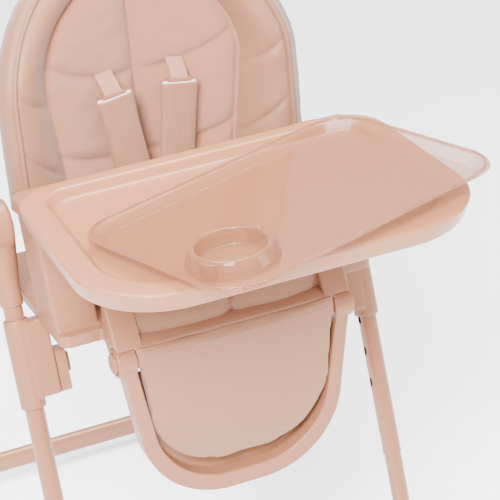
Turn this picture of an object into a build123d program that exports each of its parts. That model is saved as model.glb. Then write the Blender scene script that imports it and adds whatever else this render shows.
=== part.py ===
"""Folding baby high chair: A-frame, height-sliding seat, reclining back, footrest and trays.

Millimetres, +Z up, the child faces -Y, X = 0 is the chair's middle plane.
The origin is on the floor, straight below the fold pivots where the legs meet.
"""
from build123d import *
from math import cos, radians, sin, sqrt, tan
import os

# ---- Frame: two front legs and two rear legs that fold about one axis at the hubs
LEG_TRACK = 534.0            # between the front legs' axes
PIVOT_HEIGHT = 735.0         # fold axis above the floor
FRONT_LEAN = 17.9            # front legs from the vertical, degrees
REAR_LEAN = 35.5             # rear legs from the vertical, degrees
LEG_OFFSET = 35.0            # a rear leg's axis outside the front leg's axis
TUBE_D = 28.0
TUBE_WALL = 1.0
LOWER_TUBE_PLAY = 0.05       # lower leg tube in the upper one, on the radius
UPPER_TUBE_LENGTH = 474.0
LOWER_TUBE_OVERLAP = 60.0
TUBE_TOP_GAP = 14.0          # a tube's end from the fold axis
BAR_HEIGHT = 35.0            # floor cross bars, an upright flat oval
BAR_DEPTH = 24.0
FRONT_BAR_Z = 27.0
REAR_BAR_Z = 33.0
BAR_WALL = 1.5

# ---- Hubs
FRONT_HUB_R = 38.0
REAR_HUB_R = 28.0
HUB_GAP = 0.4                # between the front and rear hub discs
HUB_INNER_X = 19.0           # inner face from the front leg's axis
HUB_OUTER_X = 8.0            # outer face from the rear leg's axis
HUB_NECK_R = 25.0            # the front hub's neck narrows from this to its sleeve
HUB_NECK_START = 20.0
HUB_NECK_END = 88.0
REAR_NECK_R = 20.0
REAR_NECK_START = 16.0
REAR_NECK_END = 80.0
HUB_EDGE_R = 7.0
REAR_HUB_EDGE_R = 3.0
FRONT_SLEEVE = 118.0         # hub sleeve's end from the fold axis
REAR_SLEEVE = 110.0
SLEEVE_WALL = 3.0
PIN_R = 5.0
PIN_PLAY = 0.05              # a turning part on its pin, on the radius
FOLD_BUTTON_R = 11.0
FOLD_BUTTON_DEPTH = 6.0      # pocket in the rear hub
FOLD_BUTTON_TRAVEL = 3.5
FOLD_BUTTON_STANDS = 4.5
BUTTON_PLAY = 0.4

# ---- Feet and wheels
PAD_THICK = 4.0
FOOT_HALF_WIDTH = 21.0       # moulded front foot
FOOT_HALF_DEPTH = 34.0
FOOT_ABOVE_BAR = 20.0
FOOT_SOCKET_RISE = 42.0      # leg socket above the foot
LEG_END_RISE = 8.0           # the leg tube's end above the rubber pad
PAD_INSET_X = 4.0            # rubber pad inside the foot's outline
PAD_INSET_Y = 5.0
REAR_TUBE_END_Z = 78.0
WHEEL_R = 30.0
WHEEL_WIDTH = 18.6
AXLE_R = 4.0
WHEEL_SET_BACK = 14.0        # wheel axle behind the rear bar's axis

# ---- Height sliders on the front legs
SLIDER_START = 137.0         # along the leg from the fold axis
SLIDER_LENGTH = 132.0
SLIDER_PLAY = 0.3
SLIDER_WALL = 4.2
SLIDER_INNER_X = 41.0        # the slider box's inner face from the leg's axis
COVER_THICK = 16.0
HEIGHT_BUTTON_HALF = 10.0    # half its width, square to the leg
HEIGHT_BUTTON_HALF_LENGTH = 14.0
HEIGHT_BUTTON_STANDS = 6.0
HEIGHT_BUTTON_SUNK = 5.0
HEIGHT_BUTTON_RISE = 10.0    # its middle above the latch pin, along the leg
SLIDER_BOX_HALF = 19.0       # half the box's depth, square to the leg
SLOT_PITCH = 49.5
SLOT_COUNT = 4
SLOT_START = 224.5           # first slot from the fold axis
SLOT_LENGTH = 14.0
SLOT_WIDTH = 9.0
LATCH_R = 4.0
LATCH_GAP = 0.6              # latch nose short of the leg, drawn back

# ---- Seat
SEAT_Y = -24.6               # middle of the seat pan
SEAT_DEPTH = 286.0
SEAT_HALF_WIDTH = 240.0
PAN_TOP = 624.0
PAN_HEIGHT = 18.0
SHELL_WALL = 3.0
CUSHION_TOP = 652.0
LIP_DROP = 54.0              # cushion's front roll below its top
LIP_DEPTH = 14.0
LIP_HALF_WIDTH = 136.0
PANEL_INNER_X = 177.0
PANEL_OUTER_X = 240.0
ARMREST_TOP = 786.0
ARMREST_THICK = 22.0
PANEL_FOOT_Y = (-149.0, -66.0)
PANEL_HEAD_Y = (-97.0, -22.0)
FIT_GAP = 0.5                # between pieces that stay still against each other
MOVE_GAP = 1.5               # between padding and what moves past it

# ---- Backrest: a curved slab about an upright axis, leaning back
BACK_Y = 102.4               # front of the padding on the middle plane
BACK_Z = 850.0
BACK_LEAN = 3.5
BACK_CURVE_R = 300.0
BACK_PAD_THICK = 36.0
BACK_SHELL_THICK = 4.0
BACK_HALF_WIDTH = 210.0
BACK_ARCH_START = 40.0       # where the sides end and the arch starts, above BACK_Z
BACK_ARCH_RISE = 188.0
BACK_SHOULDER_DROP = 105.0   # widest low point below BACK_Z
BACK_BOTTOM_DROP = 197.0
BACK_BOTTOM_HALF = 150.0
RECLINE_Y = 137.0
RECLINE_Z = 612.0
LUG_X = 96.0                 # a recline lug's middle
LUG_WIDTH = 16.0
LUG_R = 15.0
EAR_THICK = 15.0             # seat pan's ear beside a recline lug
HANDLE_HALF = 45.0           # recline handle
HANDLE_Z = (40.0, 74.0)
HANDLE_THICK = 14.0
HANDLE_GAP = 2.5

# ---- Footrest
FOOT_HINGE_Y = -204.4
FOOT_HINGE_Z = 586.0
FOOT_LENGTH = 243.0          # the footrest hangs straight down at rest
FOOT_HALF_TOP = 175.0
FOOT_HALF_BOTTOM = 138.0
FOOT_CORNER_R = 131.0
HOOP_BAND = 20.0             # the hoop's sides, and its ledge for the feet
HOOP_LEDGE = 26.0
HOOP_DEPTH = 34.0
HOOP_BACK = 4.0              # panel that closes the hoop behind the padding
CALF_PAD_THICK = 24.0
BOSS_R = 21.0
BOSS_OUTER_X = 181.0
BOSS_INNER_X = 151.7
LUG_INNER_X = 139.0
FOOT_BUTTON_R = 15.0
FOOT_BUTTON_DEPTH = 8.0      # pocket in the boss
FOOT_BUTTON_SUNK = 5.0
FOOT_BUTTON_STANDS = 3.0

# ---- Trays
TRAY_TOP = 826.0
TRAY_THICK = 30.0
TRAY_BACK_Y = -97.0
TRAY_FRONT_Y = -486.0
TRAY_HALF_BACK = 271.0
TRAY_HALF_FRONT = 284.0
TRAY_BACK_R = 65.0
TRAY_FRONT_R = 125.0
TRAY_RIM = 38.0
TRAY_BACK_RIM = 24.0
BASIN_DEPTH = 14.0
TRAY_WALL = 3.0
TRAY_ARM_X = 205.0
TRAY_ARM_WIDTH = 20.0
TRAY_ARM_HEIGHT = 12.0
TRAY_TRAVEL = 60.0
TRAY_ARM_HOLD = 54.0         # rail still inside the armrest when the tray is all the way out
CLEAR_LENGTH = 486.0
CLEAR_WIDTH = 326.0
CLEAR_R = 68.0
CLEAR_HEIGHT = 16.0
CLEAR_WALL = 2.0
CLEAR_FLANGE = 9.0
CLEAR_TURN = 17.0            # the loose tray lies turned on the main tray, degrees
CLEAR_X = 40.0
CLEAR_Y = -344.0
CLEAR_SLOPE_X = 0.040        # rise of its floor along X and along Y as it rests
CLEAR_SLOPE_Y = -0.055
CLEAR_REST = (-165.0, -455.0)  # where its floor touches the main tray's front rim
CLEAR_LIFT_GAP = 0.8
CUP_R = 47.0
CUP_RIM_R = 54.0
CUP_FOOT_R = 62.0
CUP_HEIGHT = 22.0
CUP_ALONG = -152.0           # cup ring from the clear tray's middle, along and across it
CUP_ACROSS = -58.0

front_x = LEG_TRACK / 2
rear_x = front_x + LEG_OFFSET
tube_r = TUBE_D / 2
hub_split_x = (front_x + rear_x) / 2
sleeve_r = tube_r + SLEEVE_WALL
low = (Align.CENTER, Align.CENTER, Align.MIN)


# ---- Frames of reference

def front_leg(x=front_x):
    """On the fold axis, +Z down the front leg, +Y square to it and forward."""
    lean = radians(FRONT_LEAN)
    return Plane(origin=(x, 0, PIVOT_HEIGHT), x_dir=(1, 0, 0), z_dir=(0, -sin(lean), -cos(lean))).location


def rear_leg(x=rear_x):
    lean = radians(REAR_LEAN)
    return Plane(origin=(x, 0, PIVOT_HEIGHT), x_dir=(1, 0, 0), z_dir=(0, sin(lean), -cos(lean))).location


def footrest_frame():
    """On the footrest hinge, +Z down the footrest, +Y out of its front."""
    return Plane(origin=(0, FOOT_HINGE_Y, FOOT_HINGE_Z), x_dir=(1, 0, 0), z_dir=(0, 0, -1)).location


def back_frame():
    """At the back padding's front on the middle plane, +Z up the back, +Y rearward."""
    return Location((0, BACK_Y, BACK_Z), (-BACK_LEAN, 0, 0))


def clear_frame():
    """On the clear tray's floor, underneath and in the middle, +X along it, +Z square to it."""
    rest_x, rest_y = CLEAR_REST
    rise = CLEAR_SLOPE_X * (CLEAR_X - rest_x) + CLEAR_SLOPE_Y * (CLEAR_Y - rest_y)
    normal = Vector(-CLEAR_SLOPE_X, -CLEAR_SLOPE_Y, 1).normalized()
    along = Vector(cos(radians(CLEAR_TURN)), sin(radians(CLEAR_TURN)), 0)
    along = (along - normal * along.dot(normal)).normalized()
    return Plane(origin=(CLEAR_X, CLEAR_Y, TRAY_TOP + CLEAR_LIFT_GAP + rise), x_dir=along, z_dir=normal).location


def front_leg_s(z):
    """Distance down a front leg at height z."""
    return (PIVOT_HEIGHT - z) / cos(radians(FRONT_LEAN))


def front_leg_y(z):
    return -(PIVOT_HEIGHT - z) * tan(radians(FRONT_LEAN))


def rear_leg_s(z):
    return (PIVOT_HEIGHT - z) / cos(radians(REAR_LEAN))


def rear_leg_y(z):
    return (PIVOT_HEIGHT - z) * tan(radians(REAR_LEAN))


# ---- Basic solids

def rod(frame, radius, start, end):
    return frame * Pos(0, 0, start) * Cylinder(radius, end - start, align=low)


def cone(frame, start_r, end_r, start, end):
    return frame * Pos(0, 0, start) * Cone(start_r, end_r, end - start, align=low)


def cross_rod(radius, x_start, x_end, y, z):
    return Pos(x_start, y, z) * Rot(0, 90, 0) * Cylinder(radius, x_end - x_start, align=low)


def block(x_span, y_span, z_span, frame=Location()):
    size = [span[1] - span[0] for span in (x_span, y_span, z_span)]
    middle = [(span[0] + span[1]) / 2 for span in (x_span, y_span, z_span)]
    return frame * Pos(*middle) * Box(*size)


def side_prism(points, x_start, x_end):
    """A (y, z) outline made into a plate from x_start to x_end."""
    face = make_face(Plane.YZ.offset(x_start) * Polyline(*points, close=True))
    return extrude(face, amount=x_end - x_start, dir=(1, 0, 0))


def rounded(solid, axis, radius):
    return fillet(solid.edges().filter_by(axis), radius)


def write(name, *shapes):
    shape = shapes[0] if len(shapes) == 1 else Compound(children=list(shapes))
    export_step(shape, f"parts/{name}.step")


def write_pair(name, right):
    write(f"{name}_right", right)
    write(f"{name}_left", mirror(right, about=Plane.YZ))


def write_both(name, right):
    """One node that holds a piece and its mirror image."""
    write(name, right, mirror(right, about=Plane.YZ))


# ---- Front frame

upper_tube_end = TUBE_TOP_GAP + UPPER_TUBE_LENGTH
lower_tube_r = tube_r - TUBE_WALL - LOWER_TUBE_PLAY
foot_y = front_leg_y(FRONT_BAR_Z)
foot_x = (front_x - FOOT_HALF_WIDTH, front_x + FOOT_HALF_WIDTH)
foot_top = FRONT_BAR_Z + FOOT_ABOVE_BAR
leg_end_s = front_leg_s(PAD_THICK + LEG_END_RISE)


def upper_leg():
    frame = front_leg()
    tube = rod(frame, tube_r, TUBE_TOP_GAP, upper_tube_end) - rod(frame, tube_r - TUBE_WALL, 0, upper_tube_end + 1)
    for step in range(SLOT_COUNT):
        s = SLOT_START + step * SLOT_PITCH
        slot = frame * Pos(-tube_r - 1, 0, s) * Rot(0, 90, 0) * SlotOverall(SLOT_LENGTH, SLOT_WIDTH)
        tube -= extrude(slot, amount=6)
    return tube


def lower_leg():
    frame = front_leg()
    start = upper_tube_end - LOWER_TUBE_OVERLAP
    inner = rod(frame, lower_tube_r - TUBE_WALL, start - 1, leg_end_s + 1)
    return rod(frame, lower_tube_r, start, leg_end_s) - inner


def cross_bar(half_length, y, z):
    outer = Pos(-half_length, y, z) * Rot(0, 90, 0) * SlotOverall(BAR_HEIGHT, BAR_DEPTH)
    inner = Pos(-half_length, y, z) * Rot(0, 90, 0) * SlotOverall(
        BAR_HEIGHT - 2 * BAR_WALL, BAR_DEPTH - 2 * BAR_WALL
    )
    return extrude(outer, amount=2 * half_length) - extrude(inner, amount=2 * half_length)


def front_foot():
    """Moulded foot that takes the leg's end and the floor bar's end."""
    body = block(foot_x, (foot_y - FOOT_HALF_DEPTH, foot_y + FOOT_HALF_DEPTH), (PAD_THICK, foot_top))
    body = rounded(body, Axis.Z, 12)
    body = fillet(body.faces().sort_by(Axis.Z)[-1].edges(), 6)
    socket_top = front_leg_s(foot_top + FOOT_SOCKET_RISE)
    body += rod(front_leg(), lower_tube_r + SLEEVE_WALL, socket_top, front_leg_s(foot_top - 12))
    return body - rod(front_leg(), lower_tube_r, socket_top - 8, leg_end_s)


def foot_pad():
    half_x, half_y = FOOT_HALF_WIDTH - PAD_INSET_X, FOOT_HALF_DEPTH - PAD_INSET_Y
    pad = block((front_x - half_x, front_x + half_x), (foot_y - half_y, foot_y + half_y), (0, PAD_THICK))
    return rounded(pad, Axis.Z, 9)


def front_hub():
    """Inner half of the hub with the sleeve that carries the front leg."""
    face_x = hub_split_x - HUB_GAP / 2
    disc = cross_rod(FRONT_HUB_R, front_x - HUB_INNER_X, face_x, 0, PIVOT_HEIGHT)
    disc = fillet(disc.faces().sort_by(Axis.X)[0].edges(), HUB_EDGE_R)
    hub = disc + cone(front_leg(), HUB_NECK_R, sleeve_r, HUB_NECK_START, HUB_NECK_END)
    hub += rod(front_leg(), sleeve_r, HUB_NECK_END, FRONT_SLEEVE)
    hub -= block((face_x, face_x + 60), (-200, 200), (PIVOT_HEIGHT - 300, PIVOT_HEIGHT + 100))
    hub -= rod(front_leg(), tube_r, TUBE_TOP_GAP, FRONT_SLEEVE + 1)
    return hub - cross_rod(PIN_R, 0, rear_x, 0, PIVOT_HEIGHT)


def pivot_pin():
    return cross_rod(PIN_R, front_x - HUB_INNER_X + 2, button_pocket_x - 1, 0, PIVOT_HEIGHT)


# ---- Rear frame, wheels and fold buttons

rear_bar_y = rear_leg_y(REAR_BAR_Z)
wheel_y = rear_bar_y + WHEEL_SET_BACK
corner_inner_x = rear_x - 22
corner_outer_x = rear_x + 0.6
wheel_x = corner_outer_x + 0.8
hub_outer_x = rear_x + HUB_OUTER_X
button_pocket_x = hub_outer_x - FOLD_BUTTON_DEPTH


def rear_tube():
    frame = rear_leg()
    end = rear_leg_s(REAR_TUBE_END_Z)
    return rod(frame, tube_r, TUBE_TOP_GAP, end) - rod(frame, tube_r - TUBE_WALL, 0, end + 1)


def rear_hub():
    """Outer half of the hub, which turns on the pin with the rear leg."""
    face_x = hub_split_x + HUB_GAP / 2
    disc = cross_rod(REAR_HUB_R, face_x, hub_outer_x, 0, PIVOT_HEIGHT)
    disc = fillet(disc.faces().sort_by(Axis.X)[-1].edges(), REAR_HUB_EDGE_R)
    hub = disc + cone(rear_leg(), REAR_NECK_R, sleeve_r, REAR_NECK_START, REAR_NECK_END)
    hub += rod(rear_leg(), sleeve_r, REAR_NECK_END, REAR_SLEEVE)
    hub -= block((face_x - 60, face_x), (-200, 200), (PIVOT_HEIGHT - 300, PIVOT_HEIGHT + 100))
    hub -= rod(rear_leg(), tube_r, TUBE_TOP_GAP, REAR_SLEEVE + 1)
    hub -= cross_rod(PIN_R + PIN_PLAY, 0, button_pocket_x + 1, 0, PIVOT_HEIGHT)
    return hub - cross_rod(FOLD_BUTTON_R + BUTTON_PLAY, button_pocket_x, hub_outer_x + 1, 0, PIVOT_HEIGHT)


def fold_button():
    start = button_pocket_x + FOLD_BUTTON_TRAVEL + 0.5
    button = cross_rod(FOLD_BUTTON_R, start, hub_outer_x + FOLD_BUTTON_STANDS, 0, PIVOT_HEIGHT)
    return fillet(button.faces().sort_by(Axis.X)[-1].edges(), 2)


def rear_corner():
    """Moulded end of the rear bar: a socket for the leg and a cheek for the wheel."""
    tube_y = rear_leg_y(REAR_TUBE_END_Z)
    outline = [
        (tube_y - 15, REAR_TUBE_END_Z - 14),
        (tube_y - 4, REAR_TUBE_END_Z + 6),
        (tube_y + 20, REAR_TUBE_END_Z + 6),
        (wheel_y + 22, WHEEL_R + 18),
        (wheel_y + 22, WHEEL_R - 17),
        (wheel_y - 26, WHEEL_R - 20),
    ]
    cheek = rounded(side_prism(outline, corner_inner_x, corner_outer_x), Axis.X, 8)
    corner = cheek + rod(rear_leg(), sleeve_r, rear_leg_s(120), rear_leg_s(REAR_TUBE_END_Z - 6))
    corner -= rod(rear_leg(), tube_r, rear_leg_s(130), rear_leg_s(REAR_TUBE_END_Z))
    return corner - cross_rod(AXLE_R, corner_inner_x, rear_x + 60, wheel_y, WHEEL_R)


def axle():
    outer = wheel_x + WHEEL_WIDTH
    pin = cross_rod(AXLE_R, corner_inner_x + 4, outer + 0.4, wheel_y, WHEEL_R)
    return pin + cross_rod(9, outer + 0.4, outer + 2, wheel_y, WHEEL_R)


def wheel():
    body = cross_rod(WHEEL_R, wheel_x, wheel_x + WHEEL_WIDTH, wheel_y, WHEEL_R)
    body = fillet(body.edges(), 3)
    return body - cross_rod(AXLE_R + PIN_PLAY, wheel_x - 1, wheel_x + WHEEL_WIDTH + 1, wheel_y, WHEEL_R)


# ---- Height sliders

slider_end = SLIDER_START + SLIDER_LENGTH
slider_r = tube_r + SLIDER_PLAY + SLIDER_WALL
slider_inner_x = front_x - SLIDER_INNER_X
cover_inner_x = slider_inner_x - COVER_THICK
button_s = SLOT_START - HEIGHT_BUTTON_RISE
button_play = BUTTON_PLAY + 0.1
pan_bottom = PAN_TOP - PAN_HEIGHT
box_corner_rise = SLIDER_BOX_HALF * sin(radians(FRONT_LEAN))
slider_box_start = front_leg_s(pan_bottom - FIT_GAP - box_corner_rise)


def slider():
    """Sleeve on the leg with a box on its inner side that carries the seat."""
    frame = front_leg()
    box_x = (slider_inner_x - front_x, -6)
    box_y = (-SLIDER_BOX_HALF, SLIDER_BOX_HALF)
    box = rounded(block(box_x, box_y, (slider_box_start, slider_end - 14), frame), Axis.X, 4)
    body = rod(frame, slider_r, SLIDER_START, slider_end) + box
    body -= rod(frame, tube_r + SLIDER_PLAY, SLIDER_START - 1, slider_end + 1)
    return body - frame * Pos(-60, 0, SLOT_START) * Rot(0, 90, 0) * Cylinder(LATCH_R + BUTTON_PLAY, 60, align=low)


def slider_cover():
    """Inner cover of the slider with the pocket for the height button."""
    frame = front_leg()
    cover_x = (cover_inner_x - front_x, slider_inner_x - front_x - FIT_GAP)
    cover_y = (-SLIDER_BOX_HALF, SLIDER_BOX_HALF)
    cover = rounded(block(cover_x, cover_y, (SLIDER_START + 54, slider_end - 15), frame), Axis.X, 6)
    pocket_x = (cover_x[0] - 1, cover_x[1] - 3)
    half, half_length = HEIGHT_BUTTON_HALF + button_play, HEIGHT_BUTTON_HALF_LENGTH + button_play
    cover -= block(pocket_x, (-half, half), (button_s - half_length, button_s + half_length), frame)
    bore = Pos(cover_x[0] - 1, 0, SLOT_START) * Rot(0, 90, 0) * Cylinder(LATCH_R + BUTTON_PLAY, 20, align=low)
    return cover - frame * bore


def height_button():
    face_x = cover_inner_x - front_x
    half, half_length = HEIGHT_BUTTON_HALF, HEIGHT_BUTTON_HALF_LENGTH
    button_x = (face_x - HEIGHT_BUTTON_STANDS, face_x + HEIGHT_BUTTON_SUNK)
    button = block(button_x, (-half, half), (button_s - half_length, button_s + half_length), front_leg())
    return fillet(button.edges().filter_by(Axis.X), 4)


def latch_pin():
    nose = -tube_r - LATCH_GAP
    length = front_x + nose - (slider_inner_x - 3)
    return front_leg() * Pos(nose - length, 0, SLOT_START) * Rot(0, 90, 0) * Cylinder(LATCH_R, length, align=low)


# ---- Seat shell

seat_front = SEAT_Y - SEAT_DEPTH / 2
seat_back = SEAT_Y + SEAT_DEPTH / 2
channel_half = TRAY_ARM_WIDTH / 2 + MOVE_GAP
arm_top = ARMREST_TOP - 6
arm_bottom = arm_top - TRAY_ARM_HEIGHT
armrest_y = (-136.0, -10.0)
armrest_bottom = ARMREST_TOP - ARMREST_THICK


def seat_pan():
    half = SEAT_HALF_WIDTH
    pan = rounded(block((-half, half), (seat_front, seat_back), (pan_bottom, PAN_TOP)), Axis.Z, 14)
    inside = block(
        (-half + SHELL_WALL, half - SHELL_WALL),
        (seat_front + SHELL_WALL, seat_back - SHELL_WALL),
        (pan_bottom - 1, PAN_TOP - SHELL_WALL),
    )
    return pan - rounded(inside, Axis.Z, 11)


def panel_outline(inset=0.0):
    """Side panel seen from the side: it leans with the legs in front of them."""
    foot, head = PAN_TOP + FIT_GAP, armrest_bottom - FIT_GAP
    return [
        (PANEL_FOOT_Y[0] + inset, foot - inset),
        (PANEL_HEAD_Y[0] + inset, head - inset),
        (PANEL_HEAD_Y[1] - inset, head - inset),
        (PANEL_FOOT_Y[1] - inset, foot - inset),
    ]


def side_panel():
    """Upright of the seat shell, moulded hollow and open underneath."""
    outer = side_prism(panel_outline(), PANEL_INNER_X, PANEL_OUTER_X)
    outer = fillet(outer.edges().filter_by(Axis.Z, reverse=True).sort_by(Axis.X)[-4:], 3)
    inner = side_prism(panel_outline(SHELL_WALL), PANEL_INNER_X + SHELL_WALL, PANEL_OUTER_X - SHELL_WALL)
    return outer - inner


def armrest():
    """Cap on the side panel with a channel that is open to the front for the tray's arm."""
    cap = block((PANEL_INNER_X - 2, PANEL_OUTER_X + 5), armrest_y, (armrest_bottom, ARMREST_TOP))
    cap = rounded(cap, Axis.Z, 20)
    cap = fillet(cap.faces().sort_by(Axis.Z)[-1].edges(), 6)
    channel_x = (TRAY_ARM_X - channel_half, TRAY_ARM_X + channel_half)
    return cap - block(channel_x, (armrest_y[0] - 1, armrest_y[1] - 6), (arm_bottom - MOVE_GAP, arm_top + MOVE_GAP))


def footrest_bracket():
    """Arm from the seat pan to the footrest hinge."""
    outline = [
        (FOOT_HINGE_Y - 16, FOOT_HINGE_Z - 10),
        (FOOT_HINGE_Y - 16, FOOT_HINGE_Z + 12),
        (seat_front - 14, CUSHION_TOP + 12),
        (seat_front - FIT_GAP, CUSHION_TOP + 12),
        (seat_front - FIT_GAP, pan_bottom + 2),
        (FOOT_HINGE_Y + 12, FOOT_HINGE_Z - 10),
    ]
    arm = side_prism(outline, LUG_INNER_X, BOSS_OUTER_X - 1)
    arm -= cross_rod(BOSS_R + MOVE_GAP, BOSS_INNER_X - FIT_GAP, BOSS_OUTER_X + 10, FOOT_HINGE_Y, FOOT_HINGE_Z)
    arm -= block(
        (BOSS_INNER_X - FIT_GAP, BOSS_OUTER_X + 1),
        (FOOT_HINGE_Y - 40, FOOT_HINGE_Y + 26),
        (FOOT_HINGE_Z - 60, FOOT_HINGE_Z + 4),
    )
    return arm - cross_rod(PIN_R, LUG_INNER_X - 1, BOSS_OUTER_X, FOOT_HINGE_Y, FOOT_HINGE_Z)


def footrest_pin():
    return cross_rod(PIN_R, LUG_INNER_X, BOSS_OUTER_X - FOOT_BUTTON_DEPTH - 1, FOOT_HINGE_Y, FOOT_HINGE_Z)


def seat_pad():
    """Seat cushion with a roll that hangs in front of the pan."""
    half = PANEL_INNER_X - 8
    pad = rounded(block((-half, half), (seat_front + 4, 96), (PAN_TOP + FIT_GAP, CUSHION_TOP)), Axis.Z, 26)
    lip_y = (seat_front - LIP_DEPTH, seat_front - FIT_GAP)
    pad += block((-LIP_HALF_WIDTH, LIP_HALF_WIDTH), lip_y, (CUSHION_TOP - LIP_DROP, CUSHION_TOP))
    pad += block((-LIP_HALF_WIDTH, LIP_HALF_WIDTH), (lip_y[0], seat_front + 40), (PAN_TOP + FIT_GAP, CUSHION_TOP))
    return pad


# ---- Harness and buckle

BUCKLE_Y = -92.0
BUCKLE_Z = 700.0
BUCKLE_HALF = 20.0
BUCKLE_THICK = 12.0
BUCKLE_BUTTON_R = 9.0
BUCKLE_BUTTON_STANDS = 1.5


def crotch_strap():
    return block((-12, 12), (BUCKLE_Y - 1, BUCKLE_Y + 1), (CUSHION_TOP + FIT_GAP, BUCKLE_Z - 20))


def waist_strap():
    run = Plane(origin=(22, BUCKLE_Y, BUCKLE_Z), x_dir=(0.74, 0.64, -0.22), z_dir=(0.22, 0, 0.74)).location
    return run * Pos(70, 0, 0) * Box(130, 2, 24)


def buckle():
    half, face_y = BUCKLE_HALF, BUCKLE_Y - BUCKLE_THICK / 2
    body = block((-half, half), (face_y, face_y + BUCKLE_THICK), (BUCKLE_Z - half, BUCKLE_Z + half - 2))
    pocket = Pos(0, face_y - 1, BUCKLE_Z) * Rot(-90, 0, 0) * Cylinder(BUCKLE_BUTTON_R + BUTTON_PLAY, 6, align=low)
    return rounded(body, Axis.Y, 8) - pocket


def buckle_button():
    face_y = BUCKLE_Y - BUCKLE_THICK / 2 - BUCKLE_BUTTON_STANDS
    return Pos(0, face_y, BUCKLE_Z) * Rot(-90, 0, 0) * Cylinder(BUCKLE_BUTTON_R, 4, align=low)


# ---- Backrest

def back_outline():
    """The back from the front: an arch on tapering sides."""
    half, drop, bottom = BACK_HALF_WIDTH, BACK_SHOULDER_DROP, BACK_BOTTOM_DROP
    start = BACK_ARCH_START
    arch = EllipticalCenterArc((0, start), half, BACK_ARCH_RISE, start_angle=0, arc_size=180)
    left = Polyline((-half, start), (-half, -drop), (-BACK_BOTTOM_HALF, -bottom), (BACK_BOTTOM_HALF, -bottom))
    right = Polyline((BACK_BOTTOM_HALF, -bottom), (half, -drop), (half, start))
    return make_face(Wire([*arch.edges(), *left.edges(), *right.edges()]))


def back_layer(front, thickness):
    """A layer of the curved back, from front to front + thickness behind the padding's face."""
    blank = extrude(Plane.XZ * back_outline(), amount=160, both=True)
    length = BACK_ARCH_START + BACK_ARCH_RISE + BACK_BOTTOM_DROP + 40
    base = Pos(0, -BACK_CURVE_R, -BACK_BOTTOM_DROP - 20)
    outer = base * Cylinder(BACK_CURVE_R + front + thickness, length, align=low)
    inner = base * Cylinder(BACK_CURVE_R + front, length, align=low)
    front_half = block((-400, 400), (-1000, -110), (-400, 400))
    return back_frame() * (((outer - inner) & blank) - front_half)


def back_surface_y(x, depth, z):
    """Y of the curved back at this depth behind the padding's face, x across and z up."""
    radius = BACK_CURVE_R + depth
    sagitta = radius - sqrt(radius**2 - x**2)
    return BACK_Y + depth - sagitta - (BACK_Z - z) * tan(radians(BACK_LEAN))


def back_pad():
    return back_layer(0, BACK_PAD_THICK)


def back_shell():
    """Moulded shell behind the padding with two lugs that reach down to the recline axis."""
    depth = BACK_PAD_THICK + FIT_GAP
    shell = back_layer(depth, BACK_SHELL_THICK)
    head_z = BACK_Z - BACK_BOTTOM_DROP + 50
    head_y = back_surface_y(LUG_X, depth, head_z)
    outline = [(RECLINE_Y - 14, RECLINE_Z), (head_y, head_z), (head_y + 10, head_z), (RECLINE_Y + 15, RECLINE_Z)]
    for side in (-1, 1):
        x_start = LUG_X * side - LUG_WIDTH / 2
        lug = side_prism(outline, x_start, x_start + LUG_WIDTH)
        lug += cross_rod(LUG_R, x_start, x_start + LUG_WIDTH, RECLINE_Y, RECLINE_Z)
        shell += lug - back_layer(-60, 60 + depth)
    return shell - cross_rod(PIN_R + PIN_PLAY, -140, 140, RECLINE_Y, RECLINE_Z)


def recline_bracket():
    """Ear on the seat pan that holds the recline pin, on the inner side of a lug."""
    outline = [
        (seat_back + FIT_GAP, pan_bottom + 2),
        (seat_back + FIT_GAP, PAN_TOP),
        (RECLINE_Y - 12, RECLINE_Z + 14),
        (RECLINE_Y + 12, RECLINE_Z + 12),
        (RECLINE_Y + 12, RECLINE_Z - 14),
    ]
    face_x = LUG_X - LUG_WIDTH / 2 - FIT_GAP
    return side_prism(outline, face_x - EAR_THICK, face_x) - cross_rod(PIN_R, 0, LUG_X, RECLINE_Y, RECLINE_Z)


def recline_pin():
    return cross_rod(PIN_R, LUG_X - LUG_WIDTH, LUG_X + LUG_WIDTH / 2 - 1, RECLINE_Y, RECLINE_Z)


def recline_handle():
    """Pull handle high on the back of the shell."""
    y = BACK_PAD_THICK + BACK_SHELL_THICK + HANDLE_GAP
    handle = block((-HANDLE_HALF, HANDLE_HALF), (y, y + HANDLE_THICK), HANDLE_Z, back_frame())
    return fillet(handle.edges().filter_by(Axis.X, reverse=True).sort_by(Axis.Y)[-3:], 3)


STRAP_X = 55.0
STRAP_WIDTH = 26.0
SHOULDER_PAD_HALF = 29.0
SHOULDER_PAD_THICK = 16.0
LOOP_HALF = 18.0
LOOP_THICK = 8.0
LOOP_HEIGHT = 4.5
STRAP_TOP_Z = 36.0           # slit above BACK_Z along the back
PAD_TOP_Z = 8.0
PAD_DROP = 150.0
STRAP_LEAN = 8.0             # a strap's lower end towards the middle, degrees
STRAP_STAND_OFF = 40.0


def strap_frame():
    """At a shoulder strap's slit, +Z up the strap."""
    sagitta = BACK_CURVE_R - sqrt(BACK_CURVE_R**2 - STRAP_X**2)
    return back_frame() * Pos(STRAP_X, -sagitta - STRAP_STAND_OFF, STRAP_TOP_Z) * Rot(0, STRAP_LEAN, 0)


def shoulder_strap():
    drop = STRAP_TOP_Z - PAD_TOP_Z - 6
    slope = Plane(origin=(0, 0, -drop), x_dir=(1, 0, 0), z_dir=(0, STRAP_STAND_OFF - 4, drop)).location
    length = sqrt((STRAP_STAND_OFF - 4) ** 2 + drop**2)
    return block((-STRAP_WIDTH / 2, STRAP_WIDTH / 2), (-1, 1), (1, length), strap_frame() * slope)


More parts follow.
